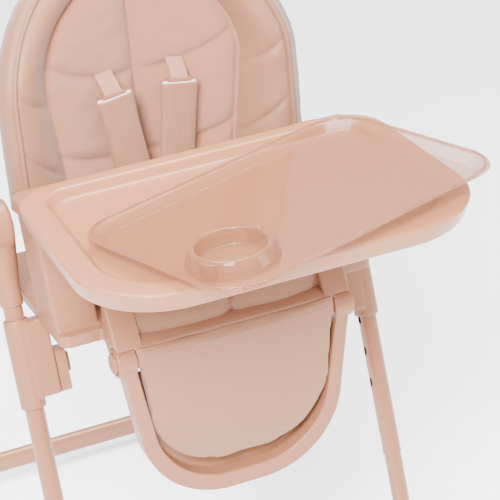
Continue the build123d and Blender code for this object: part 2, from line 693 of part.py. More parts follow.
def shoulder_pad():
    top = PAD_TOP_Z - STRAP_TOP_Z
    half, half_thick = SHOULDER_PAD_HALF, SHOULDER_PAD_THICK / 2
    pad = block((-half, half), (-half_thick, half_thick), (top - PAD_DROP, top), strap_frame())
    return fillet(pad.edges().filter_by(lambda e: abs(e.tangent_at(0.5).Z) > 0.9), 5)


def strap_loop():
    top = PAD_TOP_Z - STRAP_TOP_Z
    half, half_thick = LOOP_HALF, LOOP_THICK / 2
    return block((-half, half), (-half_thick, half_thick), (top + 1, top + 1 + LOOP_HEIGHT), strap_frame())


# ---- Footrest

def hoop_outline(inset=0.0, bottom_inset=0.0):
    """The footrest hoop from the front, x across and y down the footrest."""
    top_half, bottom_half = FOOT_HALF_TOP - inset, FOOT_HALF_BOTTOM - inset
    bottom = FOOT_LENGTH - bottom_inset
    corners = [(-top_half, 0), (-bottom_half, bottom), (bottom_half, bottom), (top_half, 0)]
    face = make_face(Polyline(*corners, close=True))
    return fillet(face.vertices().sort_by(Axis.Y)[-2:], FOOT_CORNER_R - inset)


def hoop_solid(face, back, front):
    """The outline stood up in the footrest's frame, between two depths."""
    return footrest_frame() * extrude(Pos(0, front, 0) * Rot(90, 0, 0) * face, amount=front - back)


def footrest_hoop():
    """U-shaped hoop with round bosses on the hinge and a ledge for the feet."""
    half = HOOP_DEPTH / 2
    inside = hoop_outline(HOOP_BAND, HOOP_LEDGE)
    hoop = hoop_solid(hoop_outline(), -half, half) - hoop_solid(inside, HOOP_BACK - half, half + 1)
    frame = footrest_frame()
    hoop -= block((-200, 200), (-60, 60), (-10, 14), frame)
    hoop -= block((2 - BOSS_INNER_X, BOSS_INNER_X - 2), (-60, 60), (-10, 30), frame)
    for side in (-1, 1):
        start, end = sorted((side * BOSS_INNER_X, side * BOSS_OUTER_X))
        hoop += cross_rod(BOSS_R, start, end, FOOT_HINGE_Y, FOOT_HINGE_Z)
        cap = sorted((side * (BOSS_OUTER_X - FOOT_BUTTON_DEPTH), side * (BOSS_OUTER_X + 1)))
        hoop -= cross_rod(FOOT_BUTTON_R + BUTTON_PLAY, *cap, FOOT_HINGE_Y, FOOT_HINGE_Z)
        bore = sorted((side * (BOSS_INNER_X - 1), side * (BOSS_OUTER_X - FOOT_BUTTON_DEPTH + 1)))
        hoop -= cross_rod(PIN_R + PIN_PLAY, *bore, FOOT_HINGE_Y, FOOT_HINGE_Z)
    return hoop


def footrest_button():
    inner, outer = BOSS_OUTER_X - FOOT_BUTTON_SUNK, BOSS_OUTER_X + FOOT_BUTTON_STANDS
    button = cross_rod(FOOT_BUTTON_R, inner, outer, FOOT_HINGE_Y, FOOT_HINGE_Z)
    return fillet(button.faces().sort_by(Axis.X)[-1].edges(), 1.5)


def calf_pad():
    """Padding in the hoop, which ends above the ledge."""
    back = HOOP_BACK - HOOP_DEPTH / 2 + FIT_GAP
    pad = hoop_solid(hoop_outline(HOOP_BAND + 2, HOOP_LEDGE + 24), back, back + CALF_PAD_THICK)
    return pad - block((-200, 200), (-60, 60), (-10, 26), footrest_frame())


# ---- Trays

def tray_outline(inset_side=0.0, inset_back=0.0):
    back, front = TRAY_BACK_Y - inset_back, TRAY_FRONT_Y + inset_side
    half_back, half_front = TRAY_HALF_BACK - inset_side, TRAY_HALF_FRONT - inset_side
    corners = [(-half_back, back), (half_back, back), (half_front, front), (-half_front, front)]
    face = make_face(Polyline(*corners, close=True))
    face = fillet(face.vertices().sort_by(Axis.Y)[-2:], TRAY_BACK_R - inset_side)
    return fillet(face.vertices().sort_by(Axis.Y)[:2], TRAY_FRONT_R - inset_side)


def main_tray():
    bottom = TRAY_TOP - TRAY_THICK
    tray = extrude(Pos(0, 0, bottom) * tray_outline(), amount=TRAY_THICK)
    tray = fillet(tray.faces().sort_by(Axis.Z)[-1].edges(), 11)
    basin = Pos(0, 0, TRAY_TOP - BASIN_DEPTH) * tray_outline(TRAY_RIM, TRAY_BACK_RIM)
    tray -= extrude(basin, amount=BASIN_DEPTH + 1)
    under = tray_outline(2 * TRAY_WALL + 6, 2 * TRAY_WALL + 6)
    return tray - extrude(Pos(0, 0, bottom - 1) * under, amount=TRAY_THICK - BASIN_DEPTH - TRAY_WALL + 1)


tray_floor_under = TRAY_TOP - BASIN_DEPTH - TRAY_WALL


def tray_arm():
    """Rail that slides in the armrest, with the hanger that bolts it under the tray."""
    arm_x = (TRAY_ARM_X - TRAY_ARM_WIDTH / 2, TRAY_ARM_X + TRAY_ARM_WIDTH / 2)
    rail_end = armrest_y[0] + TRAY_TRAVEL + TRAY_ARM_HOLD
    rail = block(arm_x, (armrest_y[0] - 150, rail_end), (arm_bottom, arm_top))
    return rail + block(arm_x, (armrest_y[0] - 150, armrest_y[0] - 6), (arm_bottom, tray_floor_under))


def crotch_post():
    """Tongue under the tray that keeps the child from sliding out."""
    post = block((-24, 24), (-201, -185), (CUSHION_TOP + 5, tray_floor_under))
    return fillet(post.edges().filter_by(Axis.Y).sort_by(Axis.Z)[:2], 14)


def tray_release():
    """Squeeze lever under the tray's front edge."""
    lever = block((-34, 34), (TRAY_FRONT_Y + 34, TRAY_FRONT_Y + 52), (TRAY_TOP - TRAY_THICK + 3, tray_floor_under - 1))
    return fillet(lever.edges().filter_by(Axis.Z), 5)


def clear_outline(inset):
    return RectangleRounded(CLEAR_LENGTH - 2 * inset, CLEAR_WIDTH - 2 * inset, CLEAR_R - inset)


def clear_tray():
    """Thin clear insert with a flanged rim and a ring that holds a cup."""
    outside = CLEAR_FLANGE
    body = extrude(clear_outline(outside), amount=CLEAR_HEIGHT)
    body += extrude(Pos(0, 0, CLEAR_HEIGHT - CLEAR_WALL) * clear_outline(0), amount=CLEAR_WALL)
    body -= extrude(Pos(0, 0, CLEAR_WALL) * clear_outline(outside + CLEAR_WALL), amount=CLEAR_HEIGHT)
    ring = Cone(CUP_FOOT_R, CUP_RIM_R, CUP_HEIGHT, align=low) - Cylinder(CUP_R, CUP_HEIGHT + 1, align=low)
    return clear_frame() * (body + Pos(CUP_ALONG, CUP_ACROSS, CLEAR_WALL) * ring)


def build():
    os.makedirs("parts", exist_ok=True)
    write_pair("front_leg", upper_leg())
    write_pair("lower_leg", lower_leg())
    write("front_cross_bar", cross_bar(foot_x[0], foot_y, FRONT_BAR_Z))
    write_pair("front_foot", front_foot())
    write_both("foot_pads", foot_pad())
    write_pair("front_hub", front_hub())
    write_both("pivot_pins", pivot_pin())

    write_pair("rear_leg", rear_tube())
    write("rear_cross_bar", cross_bar(corner_inner_x, rear_bar_y, REAR_BAR_Z))
    write_pair("rear_hub", rear_hub())
    write_pair("rear_corner", rear_corner())
    write_both("wheel_axles", axle())
    write_pair("wheel", wheel())
    write_pair("fold_button", fold_button())

    write_pair("slider", slider())
    write_pair("slider_cover", slider_cover())
    write_pair("height_button", height_button())
    write_pair("latch_pin", latch_pin())
    write("seat_pan", seat_pan())
    write_pair("side_panel", side_panel())
    write_pair("armrest", armrest())
    write_pair("footrest_bracket", footrest_bracket())
    write_both("recline_brackets", recline_bracket())
    pins = [footrest_pin(), recline_pin()]
    write("hinge_pins", *pins, *[mirror(pin, about=Plane.YZ) for pin in pins])
    write("seat_pad", seat_pad())
    write("crotch_strap", crotch_strap())
    write_both("waist_straps", waist_strap())
    write("buckle", buckle())
    write("buckle_button", buckle_button())

    write("back_shell", back_shell())
    write("back_pad", back_pad())
    write("recline_handle", recline_handle())
    write_both("shoulder_straps", shoulder_strap())
    write_both("shoulder_pads", shoulder_pad())
    write_both("strap_loops", strap_loop())

    write("footrest_hoop", footrest_hoop())
    write("calf_pad", calf_pad())
    write_pair("footrest_button", footrest_button())

    write("main_tray", main_tray())
    write_both("tray_arms", tray_arm())
    write("crotch_post", crotch_post())
    write("tray_release", tray_release())
    write("clear_tray", clear_tray())


build()
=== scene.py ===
"""Baby high chair: powder-pink A-frame, moulded seat shell, quilted padding and two trays."""
from math import cos, exp, pi, radians, sin, sqrt

import bmesh
import bpy
from mathutils import Matrix, Vector, noise


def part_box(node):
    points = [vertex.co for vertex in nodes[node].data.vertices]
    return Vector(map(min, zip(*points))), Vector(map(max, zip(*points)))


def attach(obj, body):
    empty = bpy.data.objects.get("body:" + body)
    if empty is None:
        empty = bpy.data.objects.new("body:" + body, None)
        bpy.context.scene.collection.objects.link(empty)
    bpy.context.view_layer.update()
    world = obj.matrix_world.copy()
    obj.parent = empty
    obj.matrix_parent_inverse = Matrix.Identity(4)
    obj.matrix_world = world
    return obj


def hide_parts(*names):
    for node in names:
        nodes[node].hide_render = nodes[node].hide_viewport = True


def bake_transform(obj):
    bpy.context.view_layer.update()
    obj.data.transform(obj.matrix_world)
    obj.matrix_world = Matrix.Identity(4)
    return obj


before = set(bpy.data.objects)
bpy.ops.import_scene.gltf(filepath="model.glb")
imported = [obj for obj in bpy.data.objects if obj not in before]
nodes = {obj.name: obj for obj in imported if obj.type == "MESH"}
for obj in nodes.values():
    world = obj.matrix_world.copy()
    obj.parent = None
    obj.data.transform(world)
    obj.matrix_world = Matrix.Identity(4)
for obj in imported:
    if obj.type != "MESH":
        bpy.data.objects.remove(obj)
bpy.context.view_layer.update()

scene = bpy.context.scene


# ---- Camera, floor and light
# A long lens from the front left, a little above the tray and slightly rolled.
# The floor is a plain pale sweep, lit by large soft panels.
AZIMUTH, ELEVATION, ROLL = radians(-22.4), radians(27.1), radians(4.2)
TARGET = Vector((0.0846, -0.0824, 0.6375))
DISTANCE = 3.3
LENS = 163.5
LIGHTS_AIM = Vector((0, 0, 0.7))

back = Vector((sin(AZIMUTH) * cos(ELEVATION), -cos(AZIMUTH) * cos(ELEVATION), sin(ELEVATION)))
level_right = Vector((cos(AZIMUTH), sin(AZIMUTH), 0))
level_up = back.cross(level_right)
right = level_right * cos(ROLL) - level_up * sin(ROLL)
up = level_right * sin(ROLL) + level_up * cos(ROLL)
camera = bpy.data.objects.new("camera", bpy.data.cameras.new("camera"))
camera.data.lens = LENS
camera.data.sensor_width = 36
camera_turn = Matrix((right, up, back)).transposed().to_4x4()
camera.matrix_world = Matrix.Translation(TARGET + back * DISTANCE) @ camera_turn
scene.collection.objects.link(camera)
scene.camera = camera

bpy.ops.mesh.primitive_plane_add(size=40, location=(0, 0, 0))
floor = bpy.context.object
floor.name = "floor"
floor_paint = bpy.data.materials.new("floor_paint")
floor_paint.use_nodes = True
floor_shader = floor_paint.node_tree.nodes["Principled BSDF"]
floor_shader.inputs["Base Color"].default_value = (0.93, 0.93, 0.93, 1)
floor_shader.inputs["Roughness"].default_value = 0.9
floor.data.materials.append(floor_paint)

world = bpy.data.worlds.new("studio")
world.use_nodes = True
sky = world.node_tree.nodes["Background"]
sky.inputs["Color"].default_value = (1, 1, 1, 1)
sky.inputs["Strength"].default_value = 1.45
scene.world = world


def soft_panel(name, stand, size, power):
    """A square light panel that faces the tray."""
    panel = bpy.data.objects.new(name, bpy.data.lights.new(name, "AREA"))
    panel.data.size = size
    panel.data.energy = power
    panel.location = stand
    panel.rotation_euler = (LIGHTS_AIM - Vector(stand)).to_track_quat("-Z", "Y").to_euler()
    scene.collection.objects.link(panel)


soft_panel("key_panel", (-1.6, -2.6, 2.9), 1.3, 720)
soft_panel("fill_panel", (2.6, -2.0, 1.6), 1.4, 70)
soft_panel("top_panel", (0.3, 0.6, 3.4), 2.0, 300)


# ---- Steel frame
# Two front legs in two lengths of tube, two rear legs and two flat-oval floor bars,
# all powder coated in gloss pink. Their turned shape comes straight from the design.

def new_group(name, inputs, outputs):
    """A shader node group with named sockets; numbers are floats and tuples are colours."""
    tree = bpy.data.node_groups.new(name, "ShaderNodeTree")
    for label, value in inputs.items():
        kind = "NodeSocketColor" if isinstance(value, tuple) else "NodeSocketFloat"
        tree.interface.new_socket(name=label, in_out="INPUT", socket_type=kind).default_value = value
    for label, kind in outputs.items():
        tree.interface.new_socket(name=label, in_out="OUTPUT", socket_type=kind)
    return tree, tree.nodes.new("NodeGroupInput"), tree.nodes.new("NodeGroupOutput")


def link(tree, source, target):
    tree.links.new(source, target)


def math_node(tree, operation, first, second):
    """A Math node on two values or sockets; returns its output."""
    node = tree.nodes.new("ShaderNodeMath")
    node.operation = operation
    for socket, value in zip(node.inputs, (first, second)):
        if isinstance(value, (int, float)):
            socket.default_value = value
        else:
            link(tree, value, socket)
    return node.outputs[0]


def tone_group():
    """Slow drift of a colour and of its gloss over a surface."""
    tree, given, result = new_group(
        "tone_drift",
        {"Color": (0.5, 0.5, 0.5, 1), "Scale": 6.0, "Amount": 0.06, "Gloss": 0.3},
        {"Color": "NodeSocketColor", "Roughness": "NodeSocketFloat"},
    )
    coordinates = tree.nodes.new("ShaderNodeTexCoord")
    drift = tree.nodes.new("ShaderNodeTexNoise")
    drift.inputs["Detail"].default_value = 3
    link(tree, coordinates.outputs["Object"], drift.inputs["Vector"])
    link(tree, given.outputs["Scale"], drift.inputs["Scale"])
    centred = math_node(tree, "SUBTRACT", drift.outputs["Fac"], 0.5)
    shift = math_node(tree, "MULTIPLY", centred, given.outputs["Amount"])
    tone = tree.nodes.new("ShaderNodeHueSaturation")
    link(tree, math_node(tree, "ADD", shift, 1.0), tone.inputs["Value"])
    link(tree, given.outputs["Color"], tone.inputs["Color"])
    link(tree, tone.outputs["Color"], result.inputs["Color"])
    link(tree, math_node(tree, "ADD", given.outputs["Gloss"], shift), result.inputs["Roughness"])
    return tree


def fine_grain_group():
    """Fine even texture of a spark-eroded mould or of a sprayed coat."""
    tree, given, result = new_group("fine_grain", {"Scale": 900.0}, {"Height": "NodeSocketFloat"})
    coordinates = tree.nodes.new("ShaderNodeTexCoord")
    speckle = tree.nodes.new("ShaderNodeTexNoise")
    speckle.inputs["Detail"].default_value = 2
    link(tree, coordinates.outputs["Object"], speckle.inputs["Vector"])
    link(tree, given.outputs["Scale"], speckle.inputs["Scale"])
    link(tree, speckle.outputs["Fac"], result.inputs["Height"])
    return tree


tone_drift = tone_group()
fine_grain = fine_grain_group()


def finish(name, color, rough, grain, grain_scale, depth,
           drift=0.06, drift_scale=6.0, coat=0.0, sheen=0.0):
    """A coloured surface with slow tone drift and one of the grain groups as its bump."""
    material = bpy.data.materials.new(name)
    material.use_nodes = True
    tree = material.node_tree
    shader = tree.nodes["Principled BSDF"]
    tone = tree.nodes.new("ShaderNodeGroup")
    tone.node_tree = tone_drift
    tone.inputs["Color"].default_value = (*color, 1)
    tone.inputs["Scale"].default_value = drift_scale
    tone.inputs["Amount"].default_value = drift
    tone.inputs["Gloss"].default_value = rough
    link(tree, tone.outputs["Color"], shader.inputs["Base Color"])
    link(tree, tone.outputs["Roughness"], shader.inputs["Roughness"])
    texture = tree.nodes.new("ShaderNodeGroup")
    texture.node_tree = grain
    texture.inputs["Scale"].default_value = grain_scale
    bump = tree.nodes.new("ShaderNodeBump")
    bump.inputs["Distance"].default_value = depth
    bump.inputs["Strength"].default_value = 1
    link(tree, texture.outputs["Height"], bump.inputs["Height"])
    link(tree, bump.outputs["Normal"], shader.inputs["Normal"])
    shader.inputs["Specular IOR Level"].default_value = 0.32
    shader.inputs["Coat Weight"].default_value = coat
    shader.inputs["Coat Roughness"].default_value = 0.12
    shader.inputs["Sheen Weight"].default_value = sheen
    shader.inputs["Sheen Roughness"].default_value = 0.5
    return material


def dress(piece, material):
    """One material all over a piece or a design node."""
    if not piece.material_slots:
        piece.data.materials.append(material)
    for holder in piece.material_slots:
        holder.material = material


FRAME_PINK = (0.235, 0.098, 0.051)
gloss_coat = finish("gloss_powder_coat", FRAME_PINK, 0.24, fine_grain, 260, 0.00006, coat=0.2)
for name in nodes:
    if name.startswith(("front_leg", "lower_leg", "rear_leg")) or name.endswith("cross_bar"):
        dress(nodes[name], gloss_coat)


# ---- Moulded hubs, feet, rear corners and buttons
# Injection-moulded shells with soft corners. The front hubs, the feet and the rear corners
# are copies of their design nodes whose edges are melted into fillets. The rear hubs, the
# buttons, wheels, pins and foot pads keep the design's own meshes.

def only(piece):
    """Selects one object and makes it active."""
    bpy.ops.object.select_all(action="DESELECT")
    piece.select_set(True)
    bpy.context.view_layer.objects.active = piece


def apply_modifier(piece, kind, **settings):
    only(piece)
    step = piece.modifiers.new(kind.lower(), kind)
    for key, value in settings.items():
        setattr(step, key, value)
    bpy.ops.object.modifier_apply(modifier=step.name)


def rename(piece, name):
    piece.name = name
    piece.data.name = name


def join(name, pieces):
    """Several meshes become one."""
    only(pieces[0])
    for piece in pieces:
        piece.select_set(True)
    bpy.ops.object.join()
    rename(pieces[0], name)
    return pieces[0]


def copy_of(node):
    piece = bpy.data.objects.new(f"{node}_copy", nodes[node].data.copy())
    scene.collection.objects.link(piece)
    return piece


def melt(piece, voxel, rounds, keep=1.0):
    """Closes a mesh over with small even faces and rounds its edges."""
    only(piece)
    bpy.ops.object.mode_set(mode="EDIT")
    bpy.ops.mesh.select_all(action="SELECT")
    bpy.ops.mesh.remove_doubles(threshold=0.00001)
    bpy.ops.mesh.normals_make_consistent(inside=False)
    bpy.ops.object.mode_set(mode="OBJECT")
    apply_modifier(piece, "REMESH", mode="VOXEL", voxel_size=voxel)
    apply_modifier(piece, "SMOOTH", factor=0.5, iterations=rounds)
    if keep < 1:
        apply_modifier(piece, "DECIMATE", ratio=keep)
    bpy.ops.object.shade_smooth()


def place(piece, body, slot_name, material, *replaced):
    """Gives a finished piece its material and body, and hides the design nodes that it stands for; slot_name is
    not used.
    """
    dress(piece, material)
    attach(piece, body)
    if replaced:
        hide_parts(*replaced)


satin_plastic = finish("satin_moulding", FRAME_PINK, 0.38, fine_grain, 1500, 0.00004, drift=0.05)
CASINGS = (("front_hub", "front_frame"), ("front_foot", "front_frame"), ("rear_corner", "rear_frame"))
for side in ("left", "right"):
    dress(nodes[f"rear_hub_{side}"], satin_plastic)
    for part, body in CASINGS:
        moulding = copy_of(f"{part}_{side}")
        rename(moulding, f"{part}_casing_{side}")
        melt(moulding, 0.0018, 8, keep=0.5)
        place(moulding, body, "hub_plastic", satin_plastic, f"{part}_{side}")
    for part in ("fold_button", "height_button", "footrest_button", "slider_cover"):
        dress(nodes[f"{part}_{side}"], satin_plastic)

wheel_plastic = finish("wheel_plastic", (0.45, 0.30, 0.25), 0.55, fine_grain, 900, 0.00008)
pad_rubber = finish("pad_rubber", (0.16, 0.11, 0.09), 0.75, fine_grain, 700, 0.0001)
pin_steel = finish("pin_steel", (0.55, 0.55, 0.57), 0.32, fine_grain, 1200, 0.00003)
pin_steel.node_tree.nodes["Principled BSDF"].inputs["Metallic"].default_value = 1
for name in nodes:
    if name in ("wheel_left", "wheel_right"):
        dress(nodes[name], wheel_plastic)
    if name.endswith("pins") or name.startswith(("latch_pin", "wheel_axles")):
        dress(nodes[name], pin_steel)
dress(nodes["foot_pads"], pad_rubber)


# ---- Seat shell
# The pan, the two hollow side panels, the footrest brackets and the height sliders
# are moulded in one colour and run into each other with wide fillets.
shell_parts = ["seat_pan"]
for side in ("left", "right"):
    shell_parts += [f"side_panel_{side}", f"footrest_bracket_{side}", f"slider_{side}"]
shell = join("seat_shell", [copy_of(part) for part in shell_parts])
melt(shell, 0.0019, 8, keep=0.3)
place(shell, "seat", "shell_plastic", satin_plastic, *shell_parts)

for side in ("left", "right"):
    armrest = copy_of(f"armrest_{side}")
    rename(armrest, f"armrest_cap_{side}")
    melt(armrest, 0.002, 8, keep=0.6)
    place(armrest, "seat", "shell_plastic", satin_plastic, f"armrest_{side}")
for name in ("back_shell", "recline_handle", "recline_brackets"):
    dress(nodes[name], satin_plastic)


# ---- Main tray
# One thick moulding with a rounded rim, a shallow basin and a recessed underside.
# Its arms, the post between the legs and the release lever keep the design's own meshes.
TRAY_FRONT_R, TRAY_BACK_R = 0.125, 0.065
RIM_SIDE, RIM_BACK = 0.038, 0.024
BASIN_DEPTH = 0.014
UNDER_RIM, UNDER_DEPTH = 0.009, 0.0125
TRAY_HALF_FRONT, TRAY_TAPER = 0.284, 271 / 284


def pick(piece, kind, test):
    """Selects the faces or edges of a mesh in edit mode whose middle and normal pass a test."""
    mesh = bmesh.from_edit_mesh(piece.data)
    bpy.ops.mesh.select_all(action="DESELECT")
    for item in getattr(mesh, kind):
        if kind == "faces":
            chosen = test(item.calc_center_median(), item.normal)
        else:
            middle = (item.verts[0].co + item.verts[1].co) / 2
            chosen = test(middle, (item.verts[1].co - item.verts[0].co).normalized())
        item.select_set(chosen)
    mesh.select_flush_mode()
    bmesh.update_edit_mesh(piece.data)


def edit(piece, mode="FACE"):
    only(piece)
    bpy.ops.object.mode_set(mode="EDIT")
    bpy.ops.mesh.select_mode(type=mode)


def leave_edit():
    bpy.ops.object.mode_set(mode="OBJECT")


def settle(piece):
    """Moves a primitive's place, turn and scale into its mesh."""
    only(piece)
    bpy.ops.object.transform_apply(location=True, rotation=True, scale=True)


def round_edges(piece, width, segments, angle=35):
    """Rounds the edges that turn by more than an angle in degrees."""
    apply_modifier(
        piece, "BEVEL", width=width, segments=segments, limit_method="ANGLE", angle_limit=radians(angle)
    )


tray_low, tray_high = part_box("main_tray")
tray_middle = (tray_low + tray_high) / 2
tray_size = [high - low for low, high in zip(tray_low, tray_high)]
bpy.ops.mesh.primitive_cube_add(
    size=1, location=tray_middle, scale=(2 * TRAY_HALF_FRONT, tray_size[1], tray_size[2])
)
tray = bpy.context.object
rename(tray, "main_tray_moulding")
settle(tray)
edit(tray, "EDGE")
back_y, front_y, top_z, bottom_z = tray_high[1], tray_low[1], tray_high[2], tray_low[2]
pick(tray, "edges", lambda middle, way: middle.y > back_y - 0.001)
bpy.ops.transform.resize(value=(TRAY_TAPER, 1, 1), center_override=(0, back_y, top_z))
pick(tray, "edges", lambda middle, way: abs(way.z) > 0.9 and middle.y < tray_middle.y)
bpy.ops.mesh.bevel(offset=TRAY_FRONT_R, segments=22, affect="EDGES")
pick(tray, "edges", lambda middle, way: abs(way.z) > 0.9 and middle.y > back_y - 0.01)
bpy.ops.mesh.bevel(offset=TRAY_BACK_R, segments=14, affect="EDGES")
bpy.ops.mesh.select_mode(type="FACE")
pick(tray, "faces", lambda middle, normal: normal.z < -0.9)
bpy.ops.transform.resize(value=(0.975, 0.97, 1), center_override=(0, back_y, bottom_z))
pick(tray, "faces", lambda middle, normal: normal.z > 0.9)
bpy.ops.mesh.inset(thickness=RIM_BACK)
side_gain = (TRAY_HALF_FRONT - RIM_SIDE) / (TRAY_HALF_FRONT - RIM_BACK)
front_gain = (back_y - front_y - RIM_BACK - RIM_SIDE) / (back_y - front_y - 2 * RIM_BACK)
bpy.ops.transform.resize(
    value=(side_gain, front_gain, 1), center_override=(0, back_y - RIM_BACK, top_z)
)
bpy.ops.mesh.extrude_region_move(TRANSFORM_OT_translate={"value": (0, 0, -BASIN_DEPTH)})
bpy.ops.transform.resize(value=(0.965, 0.955, 1), center_override=(0, tray_middle.y, top_z))
pick(tray, "faces", lambda middle, normal: normal.z < -0.9)
bpy.ops.mesh.inset(thickness=UNDER_RIM)
bpy.ops.mesh.extrude_region_move(TRANSFORM_OT_translate={"value": (0, 0, UNDER_DEPTH)})
leave_edit()
round_edges(tray, 0.0095, 5, angle=28)
bpy.ops.object.shade_smooth_by_angle(angle=radians(40))
tray_plastic = finish("tray_plastic", (0.29, 0.113, 0.055), 0.3, fine_grain, 1800, 0.00002, drift=0.03, coat=0.1)
place(tray, "tray", "tray_plastic", tray_plastic, "main_tray")
for name in ("tray_arms", "crotch_post", "tray_release"):
    dress(nodes[name], tray_plastic)


# ---- Clear tray
# A thin clear insert with sloping walls, a rolled rim and a ring that holds a cup.
# It is loose: it lies turned on the main tray, with one corner down in the basin.
# The rim ends in a thin round bead, and two ribs stiffen the ring.
CLEAR_LENGTH, CLEAR_WIDTH, CLEAR_R = 0.486, 0.326, 0.068
CLEAR_FLANGE, CLEAR_HEIGHT, CLEAR_WALL = 0.009, 0.016, 0.002
CLEAR_TURN = radians(17.0)
CLEAR_MIDDLE = (0.040, -0.344)
CLEAR_SLOPE = (0.040, -0.055)
CLEAR_REST = (-0.165, -0.455)
CLEAR_GAP = 0.0008
CLEAR_SPLAY = 0.011
CUP_PLACE = (-0.152, -0.058)
CUP_R, CUP_RIM_R, CUP_FOOT_R, CUP_HEIGHT = 0.047, 0.054, 0.062, 0.022

rise = sum(slope * (at - rest) for slope, at, rest in zip(CLEAR_SLOPE, CLEAR_MIDDLE, CLEAR_REST))
clear_up = Vector((-CLEAR_SLOPE[0], -CLEAR_SLOPE[1], 1)).normalized()
clear_along = Vector((cos(CLEAR_TURN), sin(CLEAR_TURN), 0))
clear_along = (clear_along - clear_up * clear_along.dot(clear_up)).normalized()
clear_across = clear_up.cross(clear_along)
clear_place = Matrix.Translation((*CLEAR_MIDDLE, top_z + CLEAR_GAP + rise)) @ Matrix(
    (clear_along, clear_across, clear_up)
).transposed().to_4x4()

floor_cut = 2 * CLEAR_FLANGE
floor_size = (CLEAR_LENGTH - floor_cut - 2 * CLEAR_SPLAY, CLEAR_WIDTH - floor_cut - 2 * CLEAR_SPLAY)
bpy.ops.mesh.primitive_plane_add(size=1, location=(0, 0, CLEAR_WALL))
clear = bpy.context.object
rename(clear, "clear_tray_insert")
clear.scale = (*floor_size, 1)
settle(clear)
edit(clear, "VERT")
bpy.ops.mesh.select_all(action="SELECT")
bpy.ops.mesh.bevel(offset=CLEAR_R - CLEAR_FLANGE - CLEAR_SPLAY, segments=18, affect="VERTICES")
bpy.ops.mesh.select_mode(type="EDGE")


def rim_step(out, lift):
    """Extrudes the open edge of the clear tray outwards and up."""
    bpy.ops.mesh.extrude_edges_move(TRANSFORM_OT_translate={"value": (0, 0, lift)})
    mesh = bmesh.from_edit_mesh(clear.data)
    chosen = [vert for vert in mesh.verts if vert.select]
    half = Vector((max(vert.co.x for vert in chosen), max(vert.co.y for vert in chosen), 0))
    gain = ((half.x + out) / half.x, (half.y + out) / half.y, 1)
    bpy.ops.transform.resize(value=gain, center_override=(0, 0, 0))


bpy.ops.mesh.select_all(action="SELECT")
bpy.ops.mesh.region_to_loop()
rim_step(CLEAR_SPLAY, CLEAR_HEIGHT - 2 * CLEAR_WALL)
rim_step(CLEAR_FLANGE - 0.002, 0.001)
rim_step(0.001, -0.004)
leave_edit()
apply_modifier(clear, "SOLIDIFY", thickness=CLEAR_WALL, offset=-1)
round_edges(clear, 0.004, 4)

cup_middle = (*CUP_PLACE, CLEAR_WALL + CUP_HEIGHT / 2)
bpy.ops.mesh.primitive_cylinder_add(
    vertices=72, radius=CUP_FOOT_R, depth=CUP_HEIGHT, location=cup_middle
)
ring = bpy.context.object
settle(ring)
edit(ring, "FACE")
pick(ring, "faces", lambda middle, normal: normal.z > 0.9)
bpy.ops.transform.resize(value=(CUP_RIM_R / CUP_FOOT_R,) * 2 + (1,), center_override=(*CUP_PLACE, 0))
bpy.ops.mesh.inset(thickness=CUP_RIM_R - CUP_R)
bpy.ops.mesh.extrude_region_move(TRANSFORM_OT_translate={"value": (0, 0, 0.0003 - CUP_HEIGHT)})
bpy.ops.transform.resize(value=(0.94, 0.94, 1), center_override=(*CUP_PLACE, 0))
pick(ring, "faces", lambda middle, normal: normal.z < -0.9)
bpy.ops.mesh.delete(type="FACE")
leave_edit()
round_edges(ring, 0.002, 3)
ribs = []
for angle in (radians(-162), radians(18)):
    reach = (CUP_RIM_R + CUP_FOOT_R) / 2 - 0.001
    spot = Vector(cup_middle) + Vector((cos(angle), sin(angle), 0)) * reach
    bpy.ops.mesh.primitive_cube_add(
        size=1, location=spot, rotation=(0, 0, angle), scale=(0.006, 0.024, CUP_HEIGHT - 0.003)
    )
    rib = bpy.context.object
    settle(rib)
    round_edges(rib, 0.0015, 2)
    ribs.append(rib)


def cord_along(name, points, radius, closed=False):
    """A round cord along a row of points, as a mesh."""
    curve = bpy.data.curves.new(name, "CURVE")
    curve.dimensions = "3D"
    spline = curve.splines.new("POLY")
    spline.points.add(len(points) - 1)
    for spot, point in zip(spline.points, points):
        spot.co = (*point, 1)
    spline.use_cyclic_u = closed
    curve.bevel_depth = radius
    curve.bevel_resolution = 3
    piece = bpy.data.objects.new(name, curve)
    scene.collection.objects.link(piece)
    only(piece)
    bpy.ops.object.convert(target="MESH")
    rename(bpy.context.object, name)
    bpy.ops.object.shade_smooth()
    return bpy.context.object


BEAD_R = 0.0017
bead_line = []
for corner in range(4):
    corner_x = (CLEAR_LENGTH / 2 - CLEAR_R) * (1 if corner in (0, 3) else -1)
    corner_y = (CLEAR_WIDTH / 2 - CLEAR_R) * (1 if corner < 2 else -1)
    for step in range(13):
        angle = (corner + step / 12) * pi / 2
        reach = CLEAR_R - BEAD_R
        spot = (corner_x + reach * cos(angle), corner_y + reach * sin(angle), CLEAR_HEIGHT - BEAD_R)
        bead_line.append(spot)
bead = cord_along("rim_bead", bead_line, BEAD_R, closed=True)
clear = join("clear_tray_insert", [clear, ring, bead, *ribs])
clear.data.transform(clear_place)
bpy.ops.object.shade_smooth_by_angle(angle=radians(40))

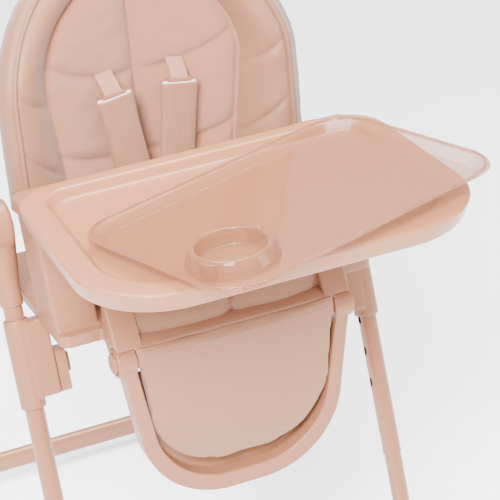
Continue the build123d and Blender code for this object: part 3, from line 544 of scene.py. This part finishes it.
clear_plastic = bpy.data.materials.new("clear_plastic")
clear_plastic.use_nodes = True
clear_tree = clear_plastic.node_tree
clear_shader = clear_tree.nodes["Principled BSDF"]
clear_shader.inputs["Base Color"].default_value = (0.25, 0.098, 0.048, 1)
clear_shader.inputs["Roughness"].default_value = 0.06
clear_shader.inputs["IOR"].default_value = 1.5
facing = clear_tree.nodes.new("ShaderNodeLayerWeight")
facing.inputs["Blend"].default_value = 0.35
veil = clear_tree.nodes.new("ShaderNodeMapRange")
veil.inputs["To Min"].default_value = 0.30
veil.inputs["To Max"].default_value = 0.92
link(clear_tree, facing.outputs["Facing"], veil.inputs["Value"])
link(clear_tree, veil.outputs["Result"], clear_shader.inputs["Alpha"])
place(clear, "clear_tray", "clear_plastic", clear_plastic, "clear_tray")


# ---- Footrest hoop
# A moulded U with a ledge for the feet, a thin panel behind the pad and a round boss
# on each hinge. Its edges are melted into the wide fillets of the real moulding.
HINGE = Vector((0, -0.2044, 0.586))
hoop = copy_of("footrest_hoop")
rename(hoop, "footrest_hoop_moulding")
melt(hoop, 0.0019, 12, keep=0.5)
place(hoop, "footrest", "shell_plastic", satin_plastic, "footrest_hoop")


# ---- Padding
# Leatherette and woven cloth over foam: seat cushion, calf pad, back and shoulder pads.
# Cushions are blown up by a short cloth simulation from a slightly smaller shape.

def leather_group():
    """Small rounded pebbles with fine creases between them."""
    tree, given, result = new_group("leather_grain", {"Scale": 900.0}, {"Height": "NodeSocketFloat"})
    coordinates = tree.nodes.new("ShaderNodeTexCoord")
    pebble = tree.nodes.new("ShaderNodeTexVoronoi")
    pebble.feature = "SMOOTH_F1"
    link(tree, coordinates.outputs["Object"], pebble.inputs["Vector"])
    link(tree, given.outputs["Scale"], pebble.inputs["Scale"])
    soft = tree.nodes.new("ShaderNodeTexNoise")
    soft.inputs["Scale"].default_value = 45
    link(tree, coordinates.outputs["Object"], soft.inputs["Vector"])
    lumps = math_node(tree, "MULTIPLY", soft.outputs["Fac"], 2.0)
    link(tree, math_node(tree, "SUBTRACT", lumps, pebble.outputs["Distance"]), result.inputs["Height"])
    return tree


def weave_group():
    """Plain weave: threads across and along, one over one."""
    tree, given, result = new_group("plain_weave", {"Scale": 900.0}, {"Height": "NodeSocketFloat"})
    coordinates = tree.nodes.new("ShaderNodeTexCoord")
    split = tree.nodes.new("ShaderNodeSeparateXYZ")
    link(tree, coordinates.outputs["Object"], split.inputs["Vector"])
    waves = []
    for axis in ("X", "Z"):
        turn = math_node(tree, "MULTIPLY", split.outputs[axis], given.outputs["Scale"])
        waves.append(math_node(tree, "SINE", math_node(tree, "MULTIPLY", turn, 2 * pi), 0))
    slub = tree.nodes.new("ShaderNodeTexNoise")
    slub.inputs["Scale"].default_value = 240
    link(tree, coordinates.outputs["Object"], slub.inputs["Vector"])
    threads = math_node(tree, "MULTIPLY", waves[0], waves[1])
    uneven = math_node(tree, "MULTIPLY", slub.outputs["Fac"], 1.2)
    link(tree, math_node(tree, "ADD", threads, uneven), result.inputs["Height"])
    return tree


leather_grain, plain_weave = leather_group(), weave_group()
leatherette = finish(
    "leatherette", (0.215, 0.094, 0.050), 0.5, leather_grain, 1100, 0.00022, drift=0.07, sheen=0.15
)
liner_cloth = finish(
    "liner_cloth", (0.31, 0.128, 0.070), 0.85, plain_weave, 900, 0.0002,
    drift=0.08, drift_scale=30, sheen=0.3,
)
webbing = finish(
    "webbing", (0.36, 0.165, 0.108), 0.7, plain_weave, 700, 0.0003, drift=0.05, sheen=0.2
)
felt = finish(
    "felt_lining", (0.52, 0.47, 0.43), 0.95, fine_grain, 700, 0.0005, drift=0.06, sheen=0.3
)


def new_grid(name, columns, rows):
    """A flat grid from -1 to 1 both ways, whose points are then moved into the piece's shape."""
    bpy.ops.mesh.primitive_grid_add(
        x_subdivisions=columns, y_subdivisions=rows, size=2, location=(0, 0, 0)
    )
    rename(bpy.context.object, name)
    return bpy.context.object


def blow_up(piece, voxel, pressure, cap, stiffness=15, frames=20):
    """Cloth simulation with air pressure; no point moves further than cap."""
    apply_modifier(piece, "REMESH", mode="VOXEL", voxel_size=voxel)
    start = [vert.co.copy() for vert in piece.data.vertices]
    only(piece)
    cloth = piece.modifiers.new("cloth", "CLOTH")
    cloth.settings.quality = 5
    cloth.settings.use_pressure = True
    cloth.settings.uniform_pressure_force = pressure
    cloth.settings.tension_stiffness = stiffness
    cloth.settings.compression_stiffness = stiffness
    cloth.settings.bending_stiffness = 0.4
    cloth.settings.effector_weights.gravity = 0
    cloth.point_cache.frame_start = 1
    cloth.point_cache.frame_end = frames
    for step in range(1, frames + 1):
        scene.frame_set(step)
    blown = piece.evaluated_get(bpy.context.evaluated_depsgraph_get())
    moved = [vert.co.copy() for vert in blown.to_mesh().vertices]
    blown.to_mesh_clear()
    piece.modifiers.remove(cloth)
    scene.frame_set(1)
    for vert, begin, end in zip(piece.data.vertices, start, moved):
        step = end - begin
        if step.length > cap:
            step *= cap / step.length
        vert.co = begin + step


# Seat cushion: a broad pad whose front rolls down over the pan's edge.
SEAT_TOP, SEAT_FRONT, SEAT_BACK_END = 0.648, -0.178, 0.092
LIP_BOTTOM, LIP_HALF, SEAT_HALF = 0.606, 0.137, 0.166
SEAT_RUN, SEAT_ROLL, SEAT_SKIN = 0.40, 0.024, 0.011
HEM_BELOW = 0.016
cushion = new_grid("seat_cushion", 70, 72)
for vert in cushion.data.vertices:
    across, along = vert.co.x, (vert.co.y + 1) / 2
    run = along * SEAT_RUN
    flat = SEAT_BACK_END - SEAT_FRONT - SEAT_ROLL
    if run < flat:
        y, z = SEAT_BACK_END - run, SEAT_TOP
    elif run < flat + SEAT_ROLL * pi / 2:
        angle = (run - flat) / SEAT_ROLL
        y = SEAT_FRONT + SEAT_ROLL - SEAT_ROLL * sin(angle)
        z = SEAT_TOP - SEAT_ROLL + SEAT_ROLL * cos(angle)
    else:
        y = SEAT_FRONT
        z = SEAT_TOP - SEAT_ROLL - (run - flat - SEAT_ROLL * pi / 2)
    front_share = max(0.0, (along - 0.5) / 0.5)
    half = SEAT_HALF - (SEAT_HALF - LIP_HALF) * front_share
    sag = 0.016 * max(0.0, 1 - across * across) * front_share ** 2
    crown = 0.012 * (1 - across ** 4) * (1 - (2 * along - 1) ** 6)
    pinch = 0.010 * exp(-abs(across) * half / 0.006)
    normal_y = -min(1.0, max(0.0, (run - flat) / (SEAT_ROLL * pi / 2)))
    wrinkle = 0.0045 * noise.noise(Vector((across * 7, along * 22, 0.3))) * front_share
    lift = crown - pinch + wrinkle
    vert.co = Vector((across * half, y + normal_y * lift, z + (1 + normal_y) * lift - sag * (-normal_y)))
    hem = LIP_BOTTOM - HEM_BELOW - 0.004 * (1 - across * across)
    if vert.co.z < hem:
        vert.co = Vector((vert.co.x, vert.co.y + min(0.02, hem - vert.co.z), hem))
apply_modifier(cushion, "SOLIDIFY", thickness=SEAT_SKIN, offset=-1)
blow_up(cushion, 0.0042, 3.0, 0.006)
apply_modifier(cushion, "SUBSURF", levels=1, render_levels=1)
bpy.ops.object.shade_smooth()
hem_line = []
for step in range(-24, 25):
    x = LIP_HALF * 0.97 * step / 24
    hit, spot, _, _ = cushion.ray_cast(Vector((x, -0.30, LIP_BOTTOM - 0.012)), Vector((0, 1, 0)))
    if hit:
        hem_line.append(spot)
hem_cord = cord_along("cushion_piping", hem_line, 0.0019)
place(hem_cord, "seat", "leatherette", leatherette)
place(cushion, "seat", "leatherette", leatherette, "seat_pad")


# Calf pad: a flat leatherette pad that fills the hoop, with two rows of stitches near its top.
CALF_TOP_HALF, CALF_BOTTOM_HALF, CALF_BOTTOM, CALF_CORNER_R = 0.152, 0.131, 0.195, 0.102
CALF_FRONT, CALF_TOP, CALF_THICK = HINGE.y - 0.013, -0.022, 0.020


def calf_half(s):
    """Half width of the calf pad s below the hinge."""
    lean = (CALF_TOP_HALF - CALF_BOTTOM_HALF) / CALF_BOTTOM
    straight = CALF_TOP_HALF - lean * s
    below = s - (CALF_BOTTOM - CALF_CORNER_R)
    if below <= 0:
        return straight
    return straight - CALF_CORNER_R + sqrt(max(0.0, CALF_CORNER_R ** 2 - min(below, CALF_CORNER_R) ** 2))


calf = new_grid("calf_pad_cover", 72, 72)
for vert in calf.data.vertices:
    across, down = vert.co.x, (1 - vert.co.y) / 2
    s = CALF_TOP + (CALF_BOTTOM - CALF_TOP) * (1 - (1 - down) ** 1.7)
    puff = 0.004 * (1 - across ** 6) * (1 - (2 * down - 1) ** 8)
    vert.co = Vector((across * calf_half(max(s, 0)), CALF_FRONT - puff, HINGE.z - s))
apply_modifier(calf, "SOLIDIFY", thickness=CALF_THICK, offset=-1)
blow_up(calf, 0.0045, 2.0, 0.004)
apply_modifier(calf, "SUBSURF", levels=1, render_levels=1)
bpy.ops.object.shade_smooth()

# Stitches: two rows of short thread lengths across the calf pad's top.
STITCH, STITCH_R, STITCH_PITCH, STITCH_HALF_RUN = 0.0036, 0.0006, 0.0058, 0.140
stitches = []
for row_z in (0.6005, 0.5925):
    count = int(2 * STITCH_HALF_RUN / STITCH_PITCH)
    for step in range(count + 1):
        x = -STITCH_HALF_RUN + step * STITCH_PITCH
        hit, spot, normal, _ = calf.ray_cast(Vector((x, -0.30, row_z)), Vector((0, 1, 0)))
        if hit:
            stitches.append((spot, normal))
bpy.ops.mesh.primitive_uv_sphere_add(segments=8, ring_count=5, radius=1, location=(0, 0, 0))
thread = bpy.context.object
rename(thread, "calf_stitches")
seed_mesh = thread.data.copy()
rows_mesh = bmesh.new()
for spot, normal in stitches:
    first = len(rows_mesh.verts)
    rows_mesh.from_mesh(seed_mesh)
    rows_mesh.verts.ensure_lookup_table()
    stretch = Matrix.Diagonal((STITCH / 2, STITCH_R, STITCH_R, 1))
    bmesh.ops.transform(
        rows_mesh, verts=rows_mesh.verts[first:],
        matrix=Matrix.Translation(spot + normal * 0.0003) @ stretch,
    )
rows_mesh.to_mesh(thread.data)
rows_mesh.free()
only(thread)
bpy.ops.object.shade_smooth()
dress(thread, webbing)
dress(calf, leatherette)
calf = join("calf_pad_cover", [calf, thread])
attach(calf, "footrest")
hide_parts("calf_pad")


# Apron: a lined leatherette strip between the cushion and the calf pad. It is sewn
# along the pad's top, and its ends run back as gussets beside the cushion.
APRON_HALF, APRON_FRONT, APRON_BACK = 0.152, -0.2160, -0.128
FRONT_SHARE = 0.62


def apron_point(across, above):
    """A point of the apron: across from end to end, above from its hem to its top seam."""
    front_y = APRON_FRONT + 0.038 * above
    front_z = 0.6045 + 0.012 * above + 0.004 * sin(pi * above)
    if abs(across) <= FRONT_SHARE:
        ripple = 0.0016 * noise.noise(Vector((across * 8, above * 2, 5.2)))
        return Vector((across / FRONT_SHARE * APRON_HALF, front_y + ripple, front_z))
    share = (abs(across) - FRONT_SHARE) / (1 - FRONT_SHARE)
    side = 1 if across > 0 else -1
    y = front_y + (APRON_BACK - front_y) * share
    z = front_z + (0.614 + 0.026 * above - front_z) * share
    bulge = 0.006 * sin(pi * share)
    return Vector((side * (APRON_HALF + bulge), y, z))


apron = new_grid("leg_apron", 90, 10)
for vert in apron.data.vertices:
    vert.co = apron_point(vert.co.x, (vert.co.y + 1) / 2)
apply_modifier(apron, "SOLIDIFY", thickness=0.0028, offset=0)
apply_modifier(apron, "SMOOTH", factor=0.5, iterations=2)
bpy.ops.object.shade_smooth()
dress(apron, leatherette)
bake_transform(apron)

for side in (-1, 1):
    side_name = "left" if side < 0 else "right"
    edging = new_grid(f"apron_lining_{side_name}", 24, 3)
    for vert in edging.data.vertices:
        share = FRONT_SHARE + (1 - FRONT_SHARE) * (vert.co.x + 1) / 2
        spot = apron_point(side * share, 0.0)
        below = (0.0016 + 0.002 * (vert.co.y + 1) / 2, -0.001 - 0.0035 * (vert.co.y + 1) / 2)
        vert.co = spot + Vector((side * below[0], 0, below[1]))
    apply_modifier(edging, "SOLIDIFY", thickness=0.0016, offset=0)
    bpy.ops.object.shade_smooth()
    dress(edging, felt)
    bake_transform(edging)


# ---- Back padding
# A bucket-shaped pad: a quilted cloth liner in the middle, leatherette wings with a
# piped edge, and slits for the shoulder straps in the liner's V seam.
BACK_PLACE = Vector((0, 0.1024, 0.850))
BACK_LEAN = radians(3.5)
BACK_CURVE_R = 0.300
BACK_HALF, ARCH_START, ARCH_RISE = 0.210, 0.040, 0.188
SHOULDER_DROP, BACK_BOTTOM, BOTTOM_HALF = 0.105, 0.197, 0.150
LINER_HALF, LINER_RISE, LINER_FOOT = 0.152, 0.140, 0.128
BACK_THICK = 0.030
VALLEY, PANEL_PUFF, WING_PUFF = 0.008, 0.024, 0.022


def back_half(s):
    """Half width of the back s above its middle."""
    if s > ARCH_START:
        return BACK_HALF * sqrt(max(0.0, 1 - ((s - ARCH_START) / ARCH_RISE) ** 2))
    if s > -SHOULDER_DROP:
        return BACK_HALF
    share = (-SHOULDER_DROP - s) / (BACK_BOTTOM - SHOULDER_DROP)
    return BACK_HALF - (BACK_HALF - BOTTOM_HALF) * share


def liner_half(s):
    if s > ARCH_START:
        return LINER_HALF * sqrt(max(0.0, 1 - ((s - ARCH_START) / LINER_RISE) ** 2))
    return LINER_HALF - (LINER_HALF - LINER_FOOT) * min(1.0, (ARCH_START - s) / 0.2)


def chevron(x):
    return 0.026 + 0.055 * (abs(x) / LINER_HALF) ** 2.2


def lower_seam(x):
    return -0.100 + 0.040 * (abs(x) / LINER_HALF) ** 2


def dip(distance, width):
    return exp(-abs(distance) / width)


def inner_base(s):
    """Half width of the liner, as it is where the arch starts."""
    return LINER_HALF if s > ARCH_START else liner_half(s)


def back_relief(x, s):
    """How far the padding stands in front of its plain curved face."""
    inner, outer = liner_half(s), back_half(s)
    over = max(0.0, s - ARCH_START)
    liner_reach = sqrt((x / inner_base(s)) ** 2 + (over / LINER_RISE) ** 2)
    outer_reach = max(0.001, sqrt((x / BACK_HALF) ** 2 + (over / ARCH_RISE) ** 2))
    if liner_reach < 1:
        fall = (1 - dip(x, 0.014)) * (1 - dip((1 - liner_reach) * LINER_HALF, 0.012))
        fall *= (1 - 0.45 * dip(s - chevron(x), 0.007)) * (1 - 0.5 * dip(s - lower_seam(x), 0.007))
        crumple = 0.0012 * noise.noise(Vector((x * 38, s * 60, 1.7)))
        return PANEL_PUFF * fall - VALLEY + crumple
    if over > 0:
        room = (1 - outer_reach) * liner_reach / outer_reach
        share = (liner_reach - 1) / max(0.001, liner_reach - 1 + room)
    else:
        share = (abs(x) - inner) / max(0.001, outer - inner)
    swell = WING_PUFF * max(0.0, sin(pi * min(1.0, share * 1.02 + 0.03))) ** 0.7
    upper_crease = dip(s - (0.020 + 0.045 * share), 0.005)
    lower_crease = dip(s - (-0.090 + 0.070 * share), 0.004)
    crumple = 0.0010 * noise.noise(Vector((x * 30, s * 45, 4.1)))
    return swell * (1 - 0.28 * upper_crease - 0.32 * lower_crease) - 0.5 * VALLEY * (1 - share) + crumple


def back_point(x, s, relief):
    sagitta = BACK_CURVE_R - sqrt(BACK_CURVE_R ** 2 - min(abs(x), BACK_CURVE_R * 0.98) ** 2)
    y = -sagitta - relief
    turned_y = y * cos(BACK_LEAN) + s * sin(BACK_LEAN)
    return BACK_PLACE + Vector((x, turned_y, s * cos(BACK_LEAN) + y * sin(BACK_LEAN)))


back_pad = new_grid("back_padding", 150, 170)
back_top = ARCH_START + ARCH_RISE - 0.0006
LINER_SHARE = 0.68
LINER_TOP_FAN = 0.115
for vert in back_pad.data.vertices:
    across, above = vert.co.x, (vert.co.y + 1) / 2
    s = -BACK_BOTTOM + (back_top + BACK_BOTTOM) * sin(above * pi / 2)
    inner, outer = liner_half(s), back_half(s)
    fan = min(1.0, max(0.0, (s - LINER_TOP_FAN) / 0.05))
    inner += (LINER_SHARE * outer - inner) * fan * fan * (3 - 2 * fan)
    if abs(across) <= LINER_SHARE:
        x = inner * across / LINER_SHARE
    else:
        wing = inner + (outer - inner) * (abs(across) - LINER_SHARE) / (1 - LINER_SHARE)
        x = wing * (1 if across > 0 else -1)
    vert.co = back_point(x, s, back_relief(x, s))
    vert.co.z = max(vert.co.z, BACK_PLACE.z - BACK_BOTTOM)
back_pad.data.materials.append(leatherette)
back_pad.data.materials.append(liner_cloth)
facing_back = 0
for face in back_pad.data.polygons:
    s = (face.center.z - BACK_PLACE.z) / cos(BACK_LEAN)
    face.material_index = 1 if abs(face.center.x) < liner_half(s) else 0
    face.use_smooth = True
    facing_back += 1 if face.normal.y > 0 else -1
if facing_back > 0:
    back_pad.data.flip_normals()
apply_modifier(back_pad, "SOLIDIFY", thickness=BACK_THICK, offset=-1)
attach(back_pad, "backrest")
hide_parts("back_pad")


edge_points = []
EDGE_STEPS = 70
for step in range(EDGE_STEPS + 1):
    s = -BACK_BOTTOM + 0.003 + (back_top + BACK_BOTTOM - 0.003) * sin(step / EDGE_STEPS * pi / 2)
    edge_points.append(back_point(back_half(s), s, 0.001))
mirrored = [Vector((-point.x, point.y, point.z)) for point in edge_points]
wing_piping = cord_along("wing_piping", edge_points + list(reversed(mirrored))[1:], 0.0024)
place(wing_piping, "backrest", "leatherette", leatherette)


# ---- Harness
# Two shoulder straps come out of slits in the liner, through plastic loops and into
# rolled leatherette pads with felt inside. The waist and crotch straps and the buckle
# where they meet keep the design's own meshes.
STRAP_X, STRAP_WIDTH, STRAP_TOP, STRAP_LEAN = 0.055, 0.026, 0.036, radians(8)
STAND_OFF, PAD_TOP, PAD_LENGTH = 0.040, 0.008, 0.150
PAD_HALF, PAD_THICK, LINING_GAP = 0.029, 0.0085, 0.0026

for side in (-1, 1):
    side_name = "left" if side < 0 else "right"
    sagitta = BACK_CURVE_R - sqrt(BACK_CURVE_R ** 2 - STRAP_X ** 2)
    strap_place = (
        Matrix.Translation(BACK_PLACE) @ Matrix.Rotation(-BACK_LEAN, 4, "X")
        @ Matrix.Translation((side * STRAP_X, -sagitta - STAND_OFF, STRAP_TOP))
        @ Matrix.Rotation(side * STRAP_LEAN, 4, "Y")
    )
    bpy.ops.mesh.primitive_cylinder_add(
        vertices=64, radius=1, depth=PAD_LENGTH, end_fill_type="NOTHING",
        location=(0, 0, PAD_TOP - STRAP_TOP - PAD_LENGTH / 2),
    )
    pad = bpy.context.object
    rename(pad, f"shoulder_pad_{side_name}")
    pad.scale = (PAD_HALF, PAD_THICK, 1)
    settle(pad)
    edit(pad, "EDGE")
    pick(pad, "edges", lambda middle, way: abs(way.z) > 0.9)
    bpy.ops.mesh.subdivide(number_cuts=24)
    leave_edit()
    for vert in pad.data.vertices:
        drop = (PAD_TOP - STRAP_TOP - vert.co.z) / PAD_LENGTH
        square = 1 - (abs(vert.co.x) / PAD_HALF) ** 4
        vert.co.y = (0.0075 if vert.co.y > 0 else -0.0085) * max(0.0, square) ** 0.5
        vert.co.y += 0.0012 * noise.noise(Vector((vert.co.x * 60, vert.co.z * 30, side)))
        vert.co.x *= 1 - 0.05 * sin(pi * drop)
    apply_modifier(pad, "SOLIDIFY", thickness=0.0022, offset=-1)
    apply_modifier(pad, "SUBSURF", levels=1, render_levels=1)
    bpy.ops.object.shade_smooth()
    pad.data.transform(strap_place)
    place(pad, "backrest", "leatherette", leatherette, *(["shoulder_pads"] if side < 0 else []))

    bpy.ops.mesh.primitive_cylinder_add(
        vertices=64, radius=1, depth=PAD_LENGTH - 0.004, end_fill_type="NOTHING",
        location=(0, 0, PAD_TOP - STRAP_TOP - PAD_LENGTH / 2 + 0.0028),
    )
    lining = bpy.context.object
    rename(lining, f"pad_lining_{side_name}")
    lining.scale = (PAD_HALF - LINING_GAP, PAD_THICK, 1)
    settle(lining)
    for vert in lining.data.vertices:
        square = 1 - (abs(vert.co.x) / (PAD_HALF - LINING_GAP)) ** 4
        vert.co.y = (0.0050 if vert.co.y > 0 else -0.0060) * max(0.0, square) ** 0.5
    apply_modifier(lining, "SOLIDIFY", thickness=0.0016, offset=-1)
    bpy.ops.object.shade_smooth()
    lining.data.transform(strap_place)
    place(lining, "backrest", "leatherette", felt)

    top = PAD_TOP - STRAP_TOP
    bpy.ops.mesh.primitive_cube_add(size=1, location=(0, 0, top + 0.0035), scale=(0.036, 0.0085, 0.0055))
    loop = bpy.context.object
    rename(loop, f"strap_loop_{side_name}")
    settle(loop)
    edit(loop)
    pick(loop, "faces", lambda middle, normal: normal.z > 0.9)
    bpy.ops.mesh.inset(thickness=0.0024)
    bpy.ops.mesh.extrude_region_move(TRANSFORM_OT_translate={"value": (0, 0, -0.0045)})
    leave_edit()
    round_edges(loop, 0.0008, 3)
    bpy.ops.object.shade_smooth_by_angle(angle=radians(40))
    loop.data.transform(strap_place)
    place(loop, "backrest", "buckle_plastic", satin_plastic, *(["strap_loops"] if side < 0 else []))

    strap = new_grid(f"shoulder_strap_{side_name}", 6, 24)
    reach = STAND_OFF - 0.012
    for vert in strap.data.vertices:
        way = (vert.co.y + 1) / 2
        z = (top - 0.010) + (0.002 - top + 0.010) * way
        y = reach * max(0.0, (way - 0.30) / 0.70) ** 1.5
        vert.co = Vector((vert.co.x * STRAP_WIDTH / 2, y - 0.001, z))
    apply_modifier(strap, "SOLIDIFY", thickness=0.0016, offset=0)
    bpy.ops.object.shade_smooth_by_angle(angle=radians(40))
    strap.data.transform(strap_place)
    place(strap, "backrest", "webbing", webbing, *(["shoulder_straps"] if side < 0 else []))

for name in ("crotch_strap", "waist_straps"):
    dress(nodes[name], webbing)
for name in ("buckle", "buckle_button"):
    dress(nodes[name], satin_plastic)
